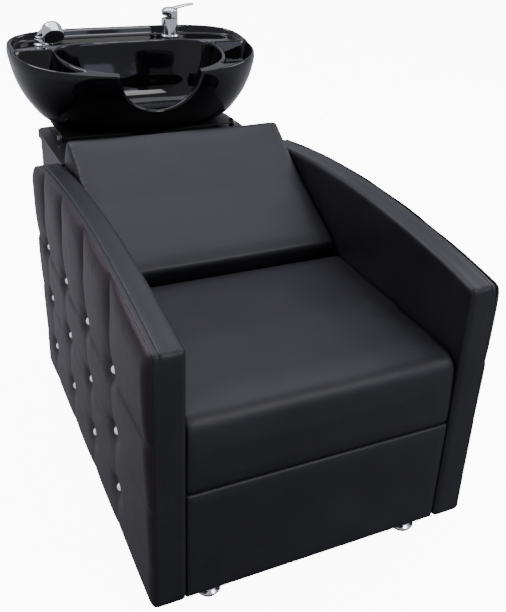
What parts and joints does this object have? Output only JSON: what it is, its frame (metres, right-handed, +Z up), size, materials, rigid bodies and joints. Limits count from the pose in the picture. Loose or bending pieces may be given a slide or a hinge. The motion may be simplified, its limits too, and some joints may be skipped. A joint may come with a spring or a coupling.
{
  "type": "hair washing bed",
  "caption": "Salon backwash unit with padded seat, reclined back, tufted side panels, tilting ceramic basin, mixer tap and pull-out hand shower.",
  "frame": {"origin": "on the floor, at the middle of the whole unit's bounding box seen from above", "axes": "+Z up; the open front of the seat faces -Y and the basin stands at +Y; +X is the right-hand side for someone who looks at the unit from the front"},
  "size_m": [0.681, 1.3363, 0.891],
  "materials": {
    "frame_timber": "matte",
    "plywood": "matte",
    "leatherette": "satin",
    "tufted_leatherette": "satin",
    "cushion_leatherette": "satin",
    "crystal": "gloss",
    "chromed_metal": "polished",
    "rubber": "matte",
    "cabinet_board": "satin",
    "zinc_steel": "satin",
    "black_steel": "satin",
    "black_glaze": "polished",
    "brass_fittings": "satin",
    "grey_plastic": "matte",
    "nozzle_plastic": "matte"
  },
  "bodies": {
    "unit": {"right_arm_core": "frame_timber", "left_arm_core": "frame_timber", "right_arm_cover": "leatherette", "left_arm_cover": "leatherette", "right_tufted_panel": "tufted_leatherette", "left_tufted_panel": "tufted_leatherette", "right_crystal_buttons": "crystal", "left_crystal_buttons": "crystal", "arm_bolts": "zinc_steel", "left_front_foot": "chromed_metal", "right_front_foot": "chromed_metal", "left_rear_foot": "chromed_metal", "right_rear_foot": "chromed_metal", "foot_pads": "rubber", "front_rail": "frame_timber", "rear_rail": "frame_timber", "bottom_board": "plywood", "divider_board": "plywood", "right_seat_batten": "frame_timber", "left_seat_batten": "frame_timber", "seat_board": "plywood", "seat_cushion": "cushion_leatherette", "front_panel_board": "plywood", "front_panel_cover": "leatherette", "right_back_batten": "frame_timber", "left_back_batten": "frame_timber", "back_board": "plywood", "back_cushion": "cushion_leatherette", "right_cabinet_side": "cabinet_board", "left_cabinet_side": "cabinet_board", "cabinet_front_board": "plywood", "cabinet_lid": "cabinet_board", "access_panel": "cabinet_board", "access_screws": "zinc_steel", "bracket_base": "black_steel", "bracket_screws": "zinc_steel"},
    "basin": {"pivot_bolts": "zinc_steel", "basin_carrier": "black_steel", "basin_pads": "rubber", "basin_bolts": "zinc_steel", "basin_bowl": "black_glaze", "basin_skirt": "black_glaze", "drain_fitting": "chromed_metal", "drain_gasket": "rubber", "drain_washer": "rubber", "drain_nut": "grey_plastic", "waste_spigot": "grey_plastic", "tap_gasket": "rubber", "tap_body": "chromed_metal", "tap_nut": "brass_fittings", "tap_cartridge": "grey_plastic", "tap_inlets": "brass_fittings", "shower_holder": "chromed_metal", "shower_holder_nut": "brass_fittings"},
    "strainer": {"hair_strainer": "chromed_metal"},
    "tap_stem": {"tap_stem": "brass_fittings", "lever_pin": "zinc_steel"},
    "tap_lever": {"tap_lever": "chromed_metal"},
    "hand_shower": {"shower_handle": "chromed_metal", "nozzle_face": "nozzle_plastic"}
  },
  "joints": [
    {"name": "basin_tilt", "type": "hinge", "parent": "unit", "child": "basin", "pos_m": [0, 0.3825, 0.598], "axis": [1, 0, 0], "range_deg": [-3, 10]},
    {"name": "tap_swivel", "type": "hinge", "parent": "basin", "child": "tap_stem", "pos_m": [0.135, 0.6005, 0.85], "axis": [0, 0, 1], "range_deg": [-50, 50]},
    {"name": "lever_lift", "type": "hinge", "parent": "tap_stem", "child": "tap_lever", "pos_m": [0.135, 0.6005, 0.857], "axis": [0, -1, 0], "range_deg": [0, 20]},
    {"name": "shower_pull", "type": "slide", "parent": "basin", "child": "hand_shower", "axis": [0, 0, 1], "range_m": [0, 0.15]},
    {"name": "strainer_lift", "type": "slide", "parent": "basin", "child": "strainer", "axis": [0, 0, 1], "range_m": [0, 0.03]}
  ]
}
